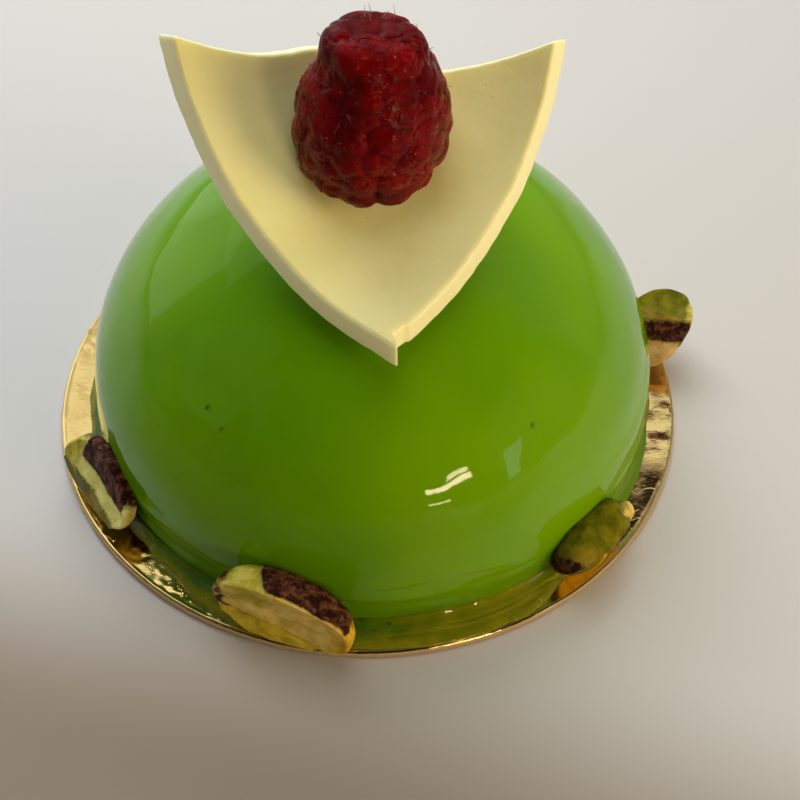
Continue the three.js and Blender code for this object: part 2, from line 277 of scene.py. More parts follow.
# Lights: place, the point they face, width and height, power, colour, and whether the surfaces
# mirror them or are only lit by them.
LIGHTS = {
    "back_soft": ((-40, 200, 235), (0, 60, 0), (300, 200), 0.62, WHITE, False),
    "top_soft": ((0, 30, 400), (0, 20, 0), (260, 260), 0.42, WHITE, False),
    "foil_panel": ((-120, 190, 205), (-120, 190, 0), (290, 280), 0.09, WHITE, True),
    "left_fill": ((-340, -90, 130), (0, 0, 35), (260, 200), 0.17, (1.0, 0.96, 0.86), False),
    "side_warm": ((330, -190, 120), (0, 0, 25), (160, 160), 0.67, WARM, False),
    "warm_fill": ((310, -150, 240), (0, 0, 20), (200, 160), 0.27, WARM, False),
    "warm_lamp": ((241, -469, 92), (8, -31, 21), (150, 22), 0.36, WARM, True),
    "warm_lamp_side": ((270, -452, 118), (8, -31, 21), (70, 16), 0.10, WARM, True),
    "warm_lamp_low": ((215, -480, 30), (8, -31, 21), (90, 10), 0.06, WARM, True),
    "soft_strip": ((412, -322, 62), (14, -27, 21), (50, 110), 0.028, WHITE, True),
    "red_strip": ((108, 233, 309), (36, -12, 1), (200, 16), 0.0012, (1.0, 0.30, 0.35), True),
}
FLOOR_HALF = 2500


# ---- helpers for shapes ----
def smoothstep(x, low, high):
    t = np.clip((np.asarray(x, float) - low) / (high - low), 0, 1)
    return t * t * (3 - 2 * t)


def bell(x, middle, width):
    return np.exp(-(((np.asarray(x, float) - middle) / width) ** 2))


def apart(azimuth, middle):
    """How far two azimuths are apart, from 0 to 180 degrees."""
    return np.abs((np.asarray(azimuth, float) - middle + 180) % 360 - 180)


def noise(points, seed=0):
    """Smooth noise from -1 to 1 at each point, with one lump to a unit."""
    points = np.asarray(points, float)
    cell = np.floor(points)
    part = points - cell
    weight = part * part * part * (part * (part * 6 - 15) + 10)
    total = np.zeros(points.shape[:-1])
    for corner in np.ndindex(2, 2, 2):
        at = cell + corner
        mixed = at[..., 0] * 127.1 + at[..., 1] * 311.7 + at[..., 2] * 74.7 + seed * 53.3
        value = np.modf(np.abs(np.sin(mixed)) * 43758.5453)[0] * 2 - 1
        share = np.where(corner, weight, 1 - weight).prod(axis=-1)
        total += value * share
    return total


def stack(x, y, z=0):
    return np.stack(np.broadcast_arrays(x, y, z), axis=-1)


def full_turn(count, start=0.0):
    return np.linspace(start, start + 2 * np.pi, count, endpoint=False)


def circle(azimuth, radius=1.0, height=0.0):
    return stack(radius * np.cos(azimuth), radius * np.sin(azimuth), height)


def rotation(axis, degrees):
    return Matrix.Rotation(math.radians(degrees), 4, axis)


def pointing(azimuth, elevation):
    """The direction at an azimuth and an elevation in degrees."""
    return np.array(rotation("Z", azimuth) @ rotation("Y", -elevation))[:3, 0]


def placed(matrix, points):
    return points @ matrix[:3, :3].T + matrix[:3, 3]


def softened(values, spread):
    """Values round a closed loop, each evened out with its neighbours up to spread away."""
    weights = bell(np.arange(-spread, spread + 1), 0, spread / 2)
    padded = np.concatenate([values[-spread:], values, values[:spread]])
    return np.convolve(padded, weights / weights.sum(), "valid")


def closed_body(rings, first, last):
    """Points and faces of rings of points, closed by a point before the first and one after the last."""
    rows, columns = rings.shape[:2]
    points = np.concatenate([rings.reshape(-1, 3), [first], [last]])
    index = np.arange(rows * columns).reshape(rows, columns)
    following = np.roll(index, -1, axis=1)
    quads = np.stack([index[:-1], following[:-1], following[1:], index[1:]], axis=-1).reshape(-1, 4)
    start = [(rows * columns, b, a) for a, b in zip(index[0], following[0])]
    end = [(rows * columns + 1, a, b) for a, b in zip(index[-1], following[-1])]
    faces = quads.tolist() + [tuple(map(int, f)) for f in start + end]
    a, b, c, d = (points[quads[:, i]] for i in range(4))
    volume = (np.cross(b - a, c - a) * (a + b + c)).sum() + (np.cross(c - a, d - a) * (a + c + d)).sum()
    if volume < 0:
        faces = [f[::-1] for f in faces]
    return points, faces


def joined(bodies):
    """Points and faces of several bodies, as those of one."""
    points, faces, total = [], [], 0
    for own, own_faces in bodies:
        faces += [tuple(i + total for i in face) for face in own_faces]
        points.append(own)
        total += len(own)
    return np.concatenate(points), faces


def round_rings(spots, radii, up, aside, sides):
    """A ring of points round each spot, square to up, with its first point square to aside too."""
    first = np.cross(up, aside)
    first /= np.linalg.norm(first)
    second = np.cross(up, first)
    turn = full_turn(sides)[:, None]
    around = np.cos(turn) * first + np.sin(turn) * second
    return np.array([spot + radius * around for spot, radius in zip(spots, radii)])


def new_piece(name, body, materials, replaces=()):
    points, faces = body
    mesh = bpy.data.meshes.new(name)
    mesh.from_pydata((np.asarray(points) * MM).tolist(), [], faces)
    mesh.shade_smooth()
    for material in materials:
        mesh.materials.append(material)
    piece = bpy.data.objects.new(name, mesh)
    bpy.context.scene.collection.objects.link(piece)
    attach(piece, "root")
    if replaces:
        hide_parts(*replaces)
    return piece


def set_mask(piece, name, values):
    attribute = piece.data.attributes.new(name, "FLOAT", "POINT")
    attribute.data.foreach_set("value", np.asarray(values, np.float32))


def surface_tree(*pieces):
    """What a ray is cast at to find the surface of the pieces."""
    places, polygons = [], []
    for piece in pieces:
        start = len(places)
        places += [v.co for v in piece.data.vertices]
        polygons += [[start + i for i in p.vertices] for p in piece.data.polygons]
    return BVHTree.FromPolygons(places, polygons)


# ---- helpers for materials ----
class Nodes:
    """The nodes of a material or of the world."""

    def __init__(self, tree, coordinates):
        self.tree = tree
        self.place = self.node("ShaderNodeTexCoord").outputs[coordinates]

    def node(self, kind, inputs=(), **settings):
        """A new node. Its inputs go by name or by number."""
        made = self.tree.nodes.new(kind)
        for key, value in settings.items():
            setattr(made, key, value)
        for key, value in dict(inputs).items():
            self.feed(made.inputs[key], value)
        return made

    def feed(self, socket, value):
        if isinstance(value, bpy.types.NodeSocket):
            self.tree.links.new(value, socket)
        else:
            socket.default_value = value

    def noise(self, size, detail=3.0, roughness=0.5, distortion=0.0, stretch=(1, 1, 1)):
        """Noise whose lumps are about size millimetres."""
        mapped = self.node("ShaderNodeMapping", {"Vector": self.place, "Scale": stretch}).outputs["Vector"]
        grain = {"Detail": detail, "Roughness": roughness, "Distortion": distortion}
        made = self.node("ShaderNodeTexNoise", {"Vector": mapped, "Scale": 1 / (size * MM), **grain})
        return made.outputs["Fac"]

    def along(self, axis):
        """How far the place lies along X, Y or Z, in metres."""
        return self.node("ShaderNodeSeparateXYZ", {0: self.place}).outputs[axis]

    def ramp(self, source, low, high, start=0.0, end=1.0):
        """Turns low to high into start to end, smoothly."""
        inputs = {"Value": source, "From Min": low, "From Max": high, "To Min": start, "To Max": end}
        return self.node("ShaderNodeMapRange", inputs, interpolation_type="SMOOTHSTEP").outputs["Result"]

    def math(self, operation, *values):
        return self.node("ShaderNodeMath", dict(enumerate(values)), operation=operation).outputs[0]

    def mix(self, factor, a, b):
        """Colour a where the factor is 0, and b where it is 1."""
        a, b = (c if isinstance(c, bpy.types.NodeSocket) else (*c, 1) for c in (a, b))
        return self.node("ShaderNodeMix", {0: factor, 6: a, 7: b}, data_type="RGBA").outputs[2]


class Finish(Nodes):
    """A node material. Keyword values are set on the shader's own sockets."""

    def __init__(self, name, **values):
        self.material = bpy.data.materials.new(name)
        self.material.use_nodes = True
        super().__init__(self.material.node_tree, "Object")
        self.shader = self.tree.nodes["Principled BSDF"]
        for key, value in values.items():
            self.set(key.replace("_", " "), value)

    def set(self, key, source):
        self.feed(self.shader.inputs[key], source)

    def scatter(self, weight, scale, radius):
        """Lets light spread under the surface, over about scale millimetres."""
        self.set("Subsurface Weight", weight)
        self.set("Subsurface Scale", scale * MM)
        self.set("Subsurface Radius", radius)

    def mask(self, name):
        return self.node("ShaderNodeAttribute", attribute_name=name).outputs["Fac"]

    def bump(self, height, depth):
        """Relief of the given depth in millimetres, added to what is there already."""
        inputs = {"Strength": 1.0, "Distance": depth * MM, "Height": height}
        before = self.shader.inputs["Normal"].links
        if before:
            inputs["Normal"] = before[0].from_socket
        self.set("Normal", self.node("ShaderNodeBump", inputs).outputs["Normal"])


# ---- materials ----
def glaze_material():
    """Opaque mirror glaze: bright green, a little yellower in places, darker at the foot as painted shade,
    with a few dark specks.
    """
    finish = Finish("green_mirror_glaze", Roughness=0.035, IOR=1.34)
    finish.scatter(0.25, 1.5, (0.6, 1.0, 0.1))
    patches = finish.ramp(finish.noise(26, detail=2), 0.35, 0.68)
    green = finish.mix(patches, (0.105, 0.285, 0.0008), (0.155, 0.345, 0.0008))
    finish.bump(finish.noise(1.4, detail=2), 0.007)
    # Painted shade: the green darkens towards the dome's foot, where it tucks in against the card.
    foot = finish.ramp(finish.along("Z"), 0.0015, 0.0085, 0.75, 0.0)
    green = finish.mix(foot, green, (0.07, 0.16, 0.001))
    green = finish.mix(finish.math("MULTIPLY", finish.mask("speck"), 0.85), green, (0.014, 0.03, 0.003))
    finish.set("Base Color", green)
    return finish.material


def pool_material():
    """Run-out glaze: cloudy green by the dome, thin, clear and olive-yellow at its edge."""
    finish = Finish("thin_clear_glaze", Roughness=0.03, IOR=1.38, Transmission_Weight=0.72)
    cloud = finish.ramp(finish.noise(3.2, detail=4), 0.3, 0.7)
    clear = finish.mix(cloud, (0.46, 0.46, 0.004), (0.70, 0.66, 0.02))
    deep = finish.mix(cloud, (0.13, 0.30, 0.001), (0.26, 0.40, 0.001))
    olive = finish.mix(cloud, (0.40, 0.42, 0.002), (0.58, 0.55, 0.008))
    poured = finish.mix(finish.mask("deep"), clear, deep)
    finish.set("Base Color", finish.mix(finish.mask("cloudy"), poured, olive))
    return finish.material


def foil_material():
    """Mirror-bright gold foil with slight creases, dull specks and brown scuffs."""
    finish = Finish("gold_foil", Metallic=1.0)
    patches = finish.noise(7, detail=4)
    gold = finish.mix(patches, (0.90, 0.63, 0.20), (0.97, 0.76, 0.32))
    scuffs = finish.ramp(finish.noise(2.4, detail=6, roughness=0.7), 0.60, 0.70, 0.0, 0.55)
    finish.set("Base Color", finish.mix(scuffs, gold, (0.45, 0.22, 0.06)))
    finish.set("Roughness", finish.ramp(finish.noise(3, detail=5), 0.35, 0.75, 0.05, 0.22))
    finish.bump(finish.noise(1.3, detail=4), 0.004)
    creases = finish.noise(1.8, detail=2, distortion=1.2, stretch=(1, 1.4, 1))
    finish.bump(finish.ramp(creases, 0.42, 0.66), 0.004)
    return finish.material


def board_material():
    """The card's cut edge and underside: brownish board."""
    finish = Finish("card_edge", Roughness=0.55, Metallic=0.25)
    fibres = finish.noise(0.8, detail=4, stretch=(1, 1, 6))
    finish.set("Base Color", finish.mix(fibres, (0.36, 0.22, 0.09), (0.68, 0.5, 0.26)))
    finish.bump(fibres, 0.03)
    return finish.material


def chocolate_material():
    """White chocolate: ivory, waxy, faintly mottled, with fine pores, and a painted highlight on its rounded
    edge.
    """
    finish = Finish("white_chocolate", IOR=1.45)
    finish.scatter(0.35, 2, (1.0, 0.75, 0.35))
    cloud = finish.ramp(finish.noise(9, detail=4), 0.3, 0.7)
    ivory = finish.mix(cloud, (0.80, 0.77, 0.33), (0.86, 0.84, 0.41))
    # Painted highlight: the rounded edge, picked out by the edge mask, is made paler.
    finish.set("Base Color", finish.mix(finish.mask("edge"), ivory, (0.99, 0.95, 0.56)))
    finish.set("Roughness", finish.ramp(finish.noise(1.5, detail=3), 0.3, 0.7, 0.36, 0.52))
    finish.bump(finish.noise(0.7, detail=4), 0.02)
    spots = finish.node("ShaderNodeTexVoronoi", {"Vector": finish.place, "Scale": 1 / (1.7 * MM)})
    finish.bump(finish.ramp(spots.outputs["Distance"], 0.05, 0.14), 0.03)
    return finish.material


def berry_material():
    """Wet raspberry skin: deep red, with painted shade darkening the creases between drupelets."""
    finish = Finish("raspberry_skin", IOR=1.3, Specular_IOR_Level=0.25)
    finish.scatter(0.25, 1.2, (1.0, 0.12, 0.08))
    patches = finish.ramp(finish.noise(4.2, detail=4), 0.34, 0.66)
    red = finish.mix(patches, (0.085, 0.0008, 0.0015), (0.17, 0.0015, 0.0025))
    # Painted shade: the red darkens where the crease mask says two drupelets meet.
    red = finish.mix(finish.math("MULTIPLY", finish.mask("crease"), 0.6), red, (0.045, 0.0006, 0.0008))
    lines = finish.math("ABSOLUTE", finish.math("SUBTRACT", finish.noise(2.0, detail=5, distortion=0.6), 0.5))
    broken = finish.ramp(finish.noise(1.5, detail=2), 0.48, 0.62)
    pale = finish.math("MULTIPLY", finish.ramp(lines, 0.0, 0.016, 0.65, 0.0), broken)
    finish.set("Base Color", finish.mix(pale, red, (0.40, 0.08, 0.06)))
    finish.set("Roughness", finish.ramp(finish.noise(1.6, detail=3), 0.35, 0.65, 0.20, 0.45))
    finish.bump(finish.noise(0.9, detail=4), 0.06)
    finish.bump(finish.ramp(lines, 0.0, 0.02), 0.07)
    return finish.material


def hair_material():
    finish = Finish("raspberry_hair", Roughness=0.5)
    shade = finish.noise(0.6)
    finish.set("Base Color", finish.mix(shade, (0.22, 0.10, 0.03), (0.45, 0.26, 0.10)))
    return finish.material


def juice_material():
    """Tiny clear droplets."""
    finish = Finish("clear_droplets", Roughness=0.03, IOR=1.34, Transmission_Weight=1.0)
    tint = finish.noise(2)
    finish.set("Base Color", finish.mix(tint, (0.98, 0.93, 0.85), (1.0, 0.98, 0.93)))
    return finish.material


def kernel_material():
    """Pistachio: olive and yellow-green flesh, cream on the split face, and mottled brown skin, with painted
    shade along the skin's lifted edge and on the split face's lower half.
    """
    coat = {"Coat_Weight": 0.03, "Coat_Roughness": 0.15}
    finish = Finish("pistachio_kernel", IOR=1.36, Specular_IOR_Level=0.12, **coat)
    finish.scatter(0.15, 1, (1.0, 0.9, 0.2))
    streaks = finish.ramp(finish.noise(2.0, detail=6, roughness=0.65), 0.31, 0.69)
    mottle = finish.ramp(finish.noise(1.0, detail=6, roughness=0.65), 0.42, 0.66)
    ragged = finish.math("MULTIPLY_ADD", finish.noise(1.3, detail=6, roughness=0.6), 0.24, -0.12)
    colour = finish.mix(streaks, *KERNEL_FLESH)
    for name, shades in KERNEL_PAINTS.items():
        field = finish.math("MULTIPLY_ADD", ragged, 2.4, finish.mask(name))
        colour = finish.mix(finish.ramp(field, -0.09, 0.09), colour, finish.mix(streaks, *shades))
    skin = finish.math("ADD", finish.mask("skin"), ragged)
    # Painted shadow: the flesh darkens in a thin band just outside the skin's edge, where the lifted skin
    # would shade it.
    colour = finish.mix(finish.ramp(skin, -0.07, -0.01, 0.0, 0.55), colour, (0.10, 0.055, 0.01))
    colour = finish.mix(finish.ramp(skin, -0.012, 0.012), colour, finish.mix(mottle, *KERNEL_SKIN))
    finish.set("Base Color", colour)
    finish.set("Roughness", finish.ramp(finish.noise(1.8, detail=3), 0.35, 0.65, 0.3, 0.55))
    finish.bump(finish.noise(0.6, detail=5), 0.08)
    finish.bump(finish.noise(2.2, detail=3), 0.14)
    return finish.material


# ---- gold card ----
def foil_ring(azimuth, radius):
    """A ring of the foil: nearly flat, with slow waves, crushed spots and a fine uneven rim."""
    ring = circle(azimuth, radius)
    degrees = np.degrees(azimuth)
    waves = 0.035 * noise(ring / 7, 3) + 0.022 * noise(ring / 2.6, 4)
    waves += 0.03 * smoothstep(apart(degrees, -6), 14, 7) * noise(ring / (1.4, 1.8, 1), 6)
    crushed = 0
    for middle, out, spread, depth in CRUSHED_FOIL:
        near = bell(apart(degrees, middle), 0, spread) * bell(radius, out, 0.02 * spread * out)
        crushed = np.maximum(crushed, depth * near)
    waves += crushed * (noise(ring / 0.8, 7) + 0.6 * noise(ring / 0.45, 8))
    rim = (0.05 + 0.03 * noise(ring / 1.5, 9)) * bell(radius, *CARD_RIM)
    ring[:, 2] = CARD_TOP - 0.06 + waves * smoothstep(radius, *WAVES_END) + rim
    return ring


def make_card():
    columns = 880
    azimuth = full_turn(columns)
    radii = np.concatenate([np.linspace(1.5, 30, 10), np.linspace(30.4, 39.7, 60)])
    rings = [foil_ring(azimuth, radius) for radius in radii]
    board_from = (len(rings) + 1) * columns
    ragged = 0.05 * noise(circle(azimuth, 60), 5)
    for radius, height in CARD_EDGE:
        share = 0.3 if height > CARD_FOIL_FROM else 1.0
        rings.append(circle(azimuth, radius + share * ragged, height))
    rings.append(circle(azimuth, 30, CARD_FOOT))
    body = closed_body(np.array(rings), (0, 0, CARD_TOP), (0, 0, CARD_FOOT))
    materials = [foil_material(), board_material()]
    card = new_piece("foil_card", body, materials, replaces=["gold_card"])
    for polygon in card.data.polygons:
        polygon.material_index = int(min(polygon.vertices) >= board_from)
    return card


# ---- dome and run-out glaze ----
def dome_radius(azimuth, share):
    """The plain dome's radius, by azimuth and by share of the way from its top to its foot."""
    waves = np.sin(3 * azimuth + 0.7) + 0.6 * np.sin(5 * azimuth - 1.1 + 2 * share)
    return DOME_RADIUS + DOME_UNEVEN * share * waves - DOME_TUCK * smoothstep(share, 0.72, 1.02)


def foot_flare(height):
    return np.exp(-(height - CARD_TOP) / FLARE_FADE)


def glaze_relief(direction, share, azimuth, height):
    """How much the poured glaze stands out from the plain dome."""
    place = direction * DOME_RADIUS
    relief = 0.08 * noise(place / 9, 11) + 0.04 * noise(place / 3.5, 12)
    relief += 0.16 * smoothstep(share, 0.80, 0.97) * noise(place / (4.5, 4.5, 1.3), 13)
    degrees = np.degrees(azimuth)
    relief += 0.28 * smoothstep(apart(degrees, 5), 60, 30) * smoothstep(height, 13.6, 11.4)
    for middle, top, spread in GLAZE_SAGS:
        off = apart(degrees, middle)
        relief += 0.13 * bell(height, top - 0.12 * off, 0.45) * smoothstep(off, spread, 0.5 * spread)
    # Where the plaque touches, the glaze rises to meet it.
    away = DOME_RADIUS * np.arccos(np.clip(direction @ plaque_frame()[:3, 2], -1, 1))
    space = GAP + away**2 / 2 * (1 / DOME_RADIUS + 1 / PLAQUE_SHELL_RADIUS)
    return relief + (space + 0.1) * smoothstep(away, 6.2, 4.0)


def make_dome():
    azimuth = full_turn(490, -np.pi)
    rings = []
    for share in np.linspace(0.006, 1.0, 190):
        angle = share * np.pi / 2
        direction = circle(azimuth, np.sin(angle), np.cos(angle))
        radius = dome_radius(azimuth, share)
        height = DOME_MIDDLE[2] + radius * np.cos(angle)
        ring = direction * (radius + glaze_relief(direction, share, azimuth, height))[:, None]
        ring[:, :2] *= 1 + foot_flare(height)[:, None] / DOME_RADIUS
        rings.append(ring)
    foot = rings[-1]
    for height in np.linspace(2.5, DOME_BOTTOM, 9):
        ring = foot + circle(azimuth) * (foot_flare(height) - foot_flare(DOME_MIDDLE[2]))
        ring[:, 2] = height - DOME_MIDDLE[2]
        rings.append(ring)
    rings = np.array(rings) + DOME_MIDDLE
    middle = DOME_MIDDLE * (1, 1, 0)
    body = closed_body(rings, middle + (0, 0, rings[0, :, 2].mean()), middle + (0, 0, DOME_BOTTOM))
    dome = new_piece("glazed_dome", body, [glaze_material()], replaces=["green_dome"])
    points = body[0]
    specks = np.zeros(len(points))
    for x, y, z, radius in GLAZE_SPECKS:
        away = np.linalg.norm(points - (x, y, z), axis=1)
        specks = np.maximum(specks, smoothstep(away, 0.95 * radius, 0.4 * radius))
    set_mask(dome, "speck", specks)
    return dome


def pool_reach(azimuth):
    known, reach = np.array(POOL_REACH).T
    plain = np.interp(np.degrees(azimuth), known, reach, period=360)
    around = circle(azimuth) * CARD_RADIUS
    return np.minimum(plain + 0.28 * noise(around / 3.2, 21) + 0.14 * noise(around / 1.3, 22), POOL_MOST)


def make_pool():
    """The thin glaze on the card, with a rounded edge, climbing the dome's foot."""
    azimuth = full_turn(900, -np.pi)
    out = circle(azimuth)
    foot = DOME_MIDDLE * (1, 1, 0) + out * (dome_radius(azimuth, 1.0) + 0.2)[:, None]
    foot = np.linalg.norm(foot, axis=1)
    inner = foot - POOL_TUCK
    reach = np.maximum(softened(pool_reach(azimuth), 6), foot + 0.5)
    climb_fade = 0.8 + 0.25 * noise(out * 9, 25)
    skirt_middle = 1.7 + 0.3 * noise(out * 6, 26)
    rings, deep = [], []
    for share in 1 - np.linspace(1, 0, 44) ** 1.4:
        radius = inner + (reach - inner) * share
        place = out * radius[:, None]
        edge = 1 - np.clip((reach - radius) / POOL_EDGE, 0, 1)
        lumps = 1 + 0.24 * noise(place / 3.5, 23) + 0.15 * noise(place / 1.4, 24)
        height = POOL_THICKNESS * lumps * np.sqrt(np.clip(1 - edge**2, 0, 1))
        past = np.clip(radius - foot, 0, None)
        skirt = 0.14 * bell(past, 1.0, 0.22) + 0.10 * bell(past, skirt_middle, 0.18)
        risen = (1.25 * np.exp(-past / climb_fade) + skirt) * (1 - edge)
        rings.append(place + stack(0, 0, CARD_TOP + 0.02 + height + risen))
        deep.append(smoothstep(past / np.maximum(reach - foot, 0.1), 1.0, 0.35))
    rings += [circle(azimuth, radius, CARD_TOP - 0.02) for radius in (reach - 0.15, inner)]
    rings = np.array(rings)
    index = np.arange(rings.size // 3).reshape(rings.shape[:2])
    below = np.roll(index, -1, axis=0)
    quads = np.stack([index, below, np.roll(below, -1, axis=1), np.roll(index, -1, axis=1)], axis=-1)
    body = rings.reshape(-1, 3), quads.reshape(-1, 4).tolist()
    pool = new_piece("glaze_pool", body, [pool_material()])
    set_mask(pool, "deep", np.concatenate(deep + [deep[-1], deep[0]]))
    clouds = [smoothstep(apart(np.degrees(azimuth), middle), *spread) for middle, *spread in POOL_CLOUDS]
    set_mask(pool, "cloudy", np.tile(np.max(clouds, axis=0), len(rings)))
    return pool


# ---- plaque ----
def plaque_frame():
    """The matrix from the plaque's own frame, whose middle is where it touches the dome."""
    tilted = rotation("Z", PLAQUE_TURN) @ rotation("X", PLAQUE_TILT)
    return np.array(Matrix.Translation(DOME_MIDDLE) @ tilted @ Matrix.Translation((0, 0, DOME_RADIUS + GAP)))


def sheet_points(flat, depth):
    """Points of the sheet, laid out flat, at a depth above its underside, in the sheet's own frame."""
    offset = flat - PLAQUE_TOUCH
    length = np.linalg.norm(offset, axis=-1)
    angle = length / PLAQUE_SHELL_RADIUS
    radius = PLAQUE_SHELL_RADIUS - depth
    scale = radius * np.sin(angle) / np.maximum(length, 1e-9)
    return stack(offset[..., 0] * scale, offset[..., 1] * scale, PLAQUE_SHELL_RADIUS - radius * np.cos(angle))


def bowed_side(a, b, t, out):
    """Points from a to b, at each share t of the way, moved out to its right."""
    way = b - a
    right = np.array([way[1], -way[0]]) / np.linalg.norm(way)
    return a + np.outer(t, way) + np.outer(out, right)


def plaque_outline(count=640, rounding=0.45):
    """The outline, evenly spaced, with its corners rounded."""
    left = np.array([-PLAQUE_HALF_WIDTH, PLAQUE_SKEW])
    right = np.array([PLAQUE_HALF_WIDTH, -PLAQUE_SKEW])
    tip = np.array([0.5, -PLAQUE_LENGTH])
    t = np.linspace(0, 1, 900, endpoint=False)
    bow = 4 * t * (1 - t)
    wave = PLAQUE_REAR_HUMP * bell(t, 0.58, 0.13) - PLAQUE_REAR_WAVE * np.sin(2 * np.pi * t)
    sides = [
        bowed_side(left, tip, t, PLAQUE_SIDE_BOW * bow),
        bowed_side(tip, right, t, PLAQUE_SIDE_BOW * bow),
        bowed_side(right, left, t, PLAQUE_REAR_BOW * bow + wave),
    ]
    closed = np.concatenate([*sides, sides[0][:1]])
    walked = np.concatenate([[0], np.cumsum(np.linalg.norm(np.diff(closed, axis=0), axis=1))])
    fine = np.linspace(0, walked[-1], count * 4, endpoint=False)
    spread = int(round(3 * rounding / fine[1]))
    soft = [softened(np.interp(fine, walked, values), spread) for values in closed.T]
    return np.stack(soft, axis=1)[::4]


def plaque_snag(outline):
    """The torn tip, a small nib that leans right, and the notch it leaves in the right side."""
    tip = outline[np.argmin(outline[:, 1])]
    away = np.linalg.norm(outline - tip, axis=1)
    right = outline[:, 0] > tip[0]
    nib = bell(away, 0, 0.62)[:, None] * PLAQUE_NIB
    torn = right * smoothstep(away, 0.5, 1.0) * smoothstep(away, 3.3, 3.0)
    return nib + (torn * 0.28)[:, None] * np.array([-0.7, 0.7])


def make_plaque():
    outline = plaque_outline()
    middle = np.array([0, -0.36 * PLAQUE_LENGTH])
    inwards = middle - outline
    inwards /= np.linalg.norm(inwards, axis=1, keepdims=True)
    wander = stack(*outline.T)
    outline = outline + inwards * (0.12 * noise(wander / 4, 31) + 0.05 * noise(wander / 1.1, 32))[:, None]
    snag = plaque_snag(outline)

    def ring(share, depth, inset=0.0, uneven=False):
        flat = middle + (outline - middle) * share + inwards * inset + snag * smoothstep(share, 0.9, 1.0)
        if uneven:
            spot = stack(*flat.T)
            depth = depth + 0.05 * noise(spot / 5, 33) + 0.015 * noise(spot / 1.2, 34)
        return sheet_points(flat, depth)

    top, round_top, round_foot = PLAQUE_THICKNESS, 0.6, 0.35
    rings = [ring(share, top, uneven=True) for share in np.linspace(0.02, 0.94, 46)]
    edge_from = len(rings) + 4
    for angle in np.linspace(0, np.pi / 2, 8):
        rings.append(ring(1, top - round_top * (1 - np.cos(angle)), round_top * (1 - np.sin(angle))))
    rings += [ring(1, depth) for depth in np.linspace(top - round_top - 0.25, round_foot + 0.15, 9)]
    for angle in np.linspace(0, np.pi / 2, 6):
        rings.append(ring(1, round_foot * (1 - np.sin(angle)), round_foot * (1 - np.cos(angle))))
    edge_to = len(rings)
    rings += [ring(share, 0.0) for share in np.linspace(0.96, 0.02, 40)]
    own = np.array(rings), sheet_points(middle, top), sheet_points(middle, 0.0)
    body = closed_body(*(placed(plaque_frame(), part) for part in own))
    chocolate = [chocolate_material()]
    plaque = new_piece("plaque", body, chocolate, replaces=["chocolate_plaque"])
    # The edge mask marks the rounded edge, which the chocolate material paints paler as a highlight.
    edge = np.zeros(len(rings))
    edge[edge_from:edge_to] = 1
    set_mask(plaque, "edge", np.append(np.repeat(edge, len(outline)), [0, 0]))
    return plaque


# ---- raspberry ----
def berry_radius(share):
    foot = 0.72 + 0.28 * np.sqrt(1 - (1 - np.minimum(share / 0.3, 1)) ** 2)
    taper = 1 - (1 - BERRY_TOP_SHARE) * smoothstep(share, 0.3, 1)
    shoulder = np.sqrt(np.maximum(1 - np.maximum(0, (share - 0.72) / 0.32) ** 2, 0))
    return BERRY_RADIUS * foot * taper * shoulder


def berry_matrix():
    foot = placed(plaque_frame(), sheet_points(np.array([BERRY_PLACE]), PLAQUE_THICKNESS))[0]
    return np.array(Matrix.Translation(foot) @ rotation("Y", BERRY_LEAN))


def drupelets():
    """Middle and size of each drupelet, in uneven rows."""
    draw = np.random.default_rng(8)
    found = []
    for row, count in enumerate(BERRY_ROWS):
        for i in range(count):
            share = 0.07 + 0.8 * row / (len(BERRY_ROWS) - 1) + draw.uniform(-0.022, 0.022)
            azimuth = (i + row % 2 / 2 + draw.uniform(-0.16, 0.16)) / count * 2 * np.pi
            out = berry_radius(share) - 0.62 * DRUPELET_RADIUS
            size = DRUPELET_RADIUS * draw.uniform(0.9, 1.1)
            found.append((out * np.cos(azimuth), out * np.sin(azimuth), share * BERRY_HEIGHT, size))
    for i in range(3):
        azimuth = i / 3 * 2 * np.pi + 0.4
        found.append((1.5 * np.cos(azimuth), 1.5 * np.sin(azimuth), BERRY_HEIGHT - 2.0, 2.1))
    return np.array(found)


def drupelet_reach(origin, ray):
    """How far each ray runs to the farthest drupelet in its way, and to the second farthest."""
    first = np.full(len(ray), -1.0)
    second = first
    for *centre, size in drupelets():
        to = centre - origin
        along = (to * ray).sum(1)
        aside = (to**2).sum(1) - along**2
        hit = along + np.sqrt(np.maximum(size**2 - aside, 0))
        hit = np.where(aside < size**2, hit, along - 1.3 * (np.sqrt(np.maximum(aside, 0)) - size))
        second = np.maximum(second, np.minimum(first, hit))
        first = np.maximum(first, hit)
    return first, second


def wrinkled(place, ray):
    """The berry's skin with its folds and wrinkles, and with its upper part sunk and drawn aside."""
    fold = np.abs(noise(place / (2.6, 2.6, 2.2), 43) + 0.5 * noise(place / 0.9, 44))
    wrinkle = 0.22 * noise(place / 3.4, 41) + 0.09 * noise(place / 0.9, 42) + 0.12 * smoothstep(fold, 0, 0.35)
    place = place + ray * (wrinkle - 0.05)[:, None]
    level = place[:, 2] / BERRY_HEIGHT
    upper = smoothstep(level, 0.5, 0.92)
    shoulder = smoothstep(level, 0.74, 0.95) * smoothstep(-place[:, 0], -0.5, 3.5)
    place[:, 0] += 0.6 * upper * smoothstep(-place[:, 0], 0, 4) - 1.35 * shoulder
    place[:, 2] += 0.4 * shoulder - 0.7 * upper
    return place


